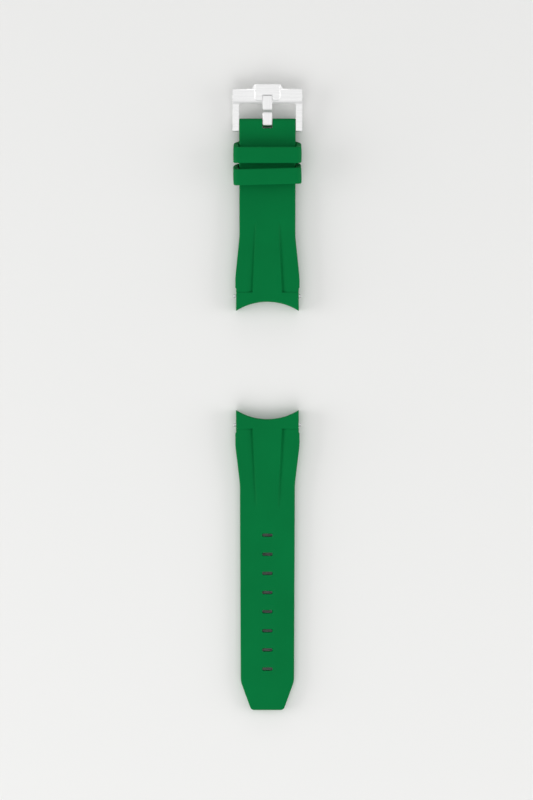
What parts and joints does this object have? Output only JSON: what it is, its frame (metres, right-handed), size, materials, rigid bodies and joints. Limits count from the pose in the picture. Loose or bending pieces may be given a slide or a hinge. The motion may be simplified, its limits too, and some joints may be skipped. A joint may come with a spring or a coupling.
{
  "type": "watch strap",
  "caption": "Two-piece rubber dive watch strap with fitted ends, spring bars, keepers and a steel pin buckle whose frame swings and tang lifts.",
  "frame": {"origin": "midway between the axes of the two lug spring bars, in their plane: the centre of the watch case", "axes": "+X across the strap, to the right when it is seen from the front with the buckle up; +Y along the strap towards the buckle; +Z out of the strap's face"},
  "size_m": [0.0232, 0.2087, 0.009],
  "materials": {
    "green_rubber": "matte moulded green rubber, smooth, with a soft sheen",
    "polished_steel": "bright stainless steel, fine brushed face and polished edges",
    "spring_bar_steel": "turned stainless steel",
    "spring_wire": "drawn spring wire"
  },
  "bodies": {
    "root": {"long_lug_bar_tube": "spring_bar_steel", "long_lug_bar_spring": "spring_wire", "short_lug_bar_tube": "spring_bar_steel", "short_lug_bar_spring": "spring_wire"},
    "long_strap": {"long_strap": "green_rubber", "long_strap_sleeve": "spring_bar_steel"},
    "short_strap": {"short_strap": "green_rubber", "short_strap_sleeve": "spring_bar_steel", "fixed_keeper": "green_rubber"},
    "free_keeper": {"free_keeper": "green_rubber"},
    "buckle_frame": {"buckle_frame": "polished_steel", "buckle_bar_tube": "spring_bar_steel", "buckle_bar_spring": "spring_wire"},
    "buckle_tang": {"buckle_tang": "polished_steel"},
    "long_lug_bar_left_pin": {"long_lug_bar_left_pin": "spring_bar_steel"},
    "long_lug_bar_right_pin": {"long_lug_bar_right_pin": "spring_bar_steel"},
    "short_lug_bar_left_pin": {"short_lug_bar_left_pin": "spring_bar_steel"},
    "short_lug_bar_right_pin": {"short_lug_bar_right_pin": "spring_bar_steel"},
    "buckle_bar_left_pin": {"buckle_bar_left_pin": "spring_bar_steel"},
    "buckle_bar_right_pin": {"buckle_bar_right_pin": "spring_bar_steel"}
  },
  "joints": [
    {"name": "long_strap_swing", "type": "hinge", "parent": "root", "child": "long_strap", "pos_m": [0, -0.0215, 0], "axis": [1, 0, 0], "range_deg": [-5, 45]},
    {"name": "short_strap_swing", "type": "hinge", "parent": "root", "child": "short_strap", "pos_m": [0, 0.0215, 0], "axis": [-1, 0, 0], "range_deg": [-5, 45]},
    {"name": "free_keeper_slide", "type": "slide", "parent": "short_strap", "child": "free_keeper", "axis": [0, 1, 0], "range_m": [-0.014, 0.0012]},
    {"name": "buckle_frame_swing", "type": "hinge", "parent": "short_strap", "child": "buckle_frame", "pos_m": [0, 0.0792, 0.0005], "axis": [1, 0, 0], "range_deg": [-90, 15]},
    {"name": "tang_lift", "type": "hinge", "parent": "buckle_frame", "child": "buckle_tang", "pos_m": [0, 0.0792, 0.0005], "axis": [1, 0, 0], "range_deg": [0, 85]},
    {"name": "long_lug_bar_left_pin_press", "type": "slide", "parent": "root", "child": "long_lug_bar_left_pin", "axis": [1, 0, 0], "range_m": [0, 0.0009], "stiffness_N_per_m": 800, "springref_m": -0.002, "deforming": ["long_lug_bar_spring"]},
    {"name": "long_lug_bar_right_pin_press", "type": "slide", "parent": "root", "child": "long_lug_bar_right_pin", "axis": [-1, 0, 0], "range_m": [0, 0.0009], "stiffness_N_per_m": 800, "springref_m": -0.002, "deforming": ["long_lug_bar_spring"]},
    {"name": "short_lug_bar_left_pin_press", "type": "slide", "parent": "root", "child": "short_lug_bar_left_pin", "axis": [1, 0, 0], "range_m": [0, 0.0009], "stiffness_N_per_m": 800, "springref_m": -0.002, "deforming": ["short_lug_bar_spring"]},
    {"name": "short_lug_bar_right_pin_press", "type": "slide", "parent": "root", "child": "short_lug_bar_right_pin", "axis": [-1, 0, 0], "range_m": [0, 0.0009], "stiffness_N_per_m": 800, "springref_m": -0.002, "deforming": ["short_lug_bar_spring"]},
    {"name": "buckle_bar_left_pin_press", "type": "slide", "parent": "buckle_frame", "child": "buckle_bar_left_pin", "axis": [1, 0, 0], "range_m": [0, 0.0009], "stiffness_N_per_m": 800, "springref_m": -0.002, "deforming": ["buckle_bar_spring"]},
    {"name": "buckle_bar_right_pin_press", "type": "slide", "parent": "buckle_frame", "child": "buckle_bar_right_pin", "axis": [-1, 0, 0], "range_m": [0, 0.0009], "stiffness_N_per_m": 800, "springref_m": -0.002, "deforming": ["buckle_bar_spring"]}
  ]
}
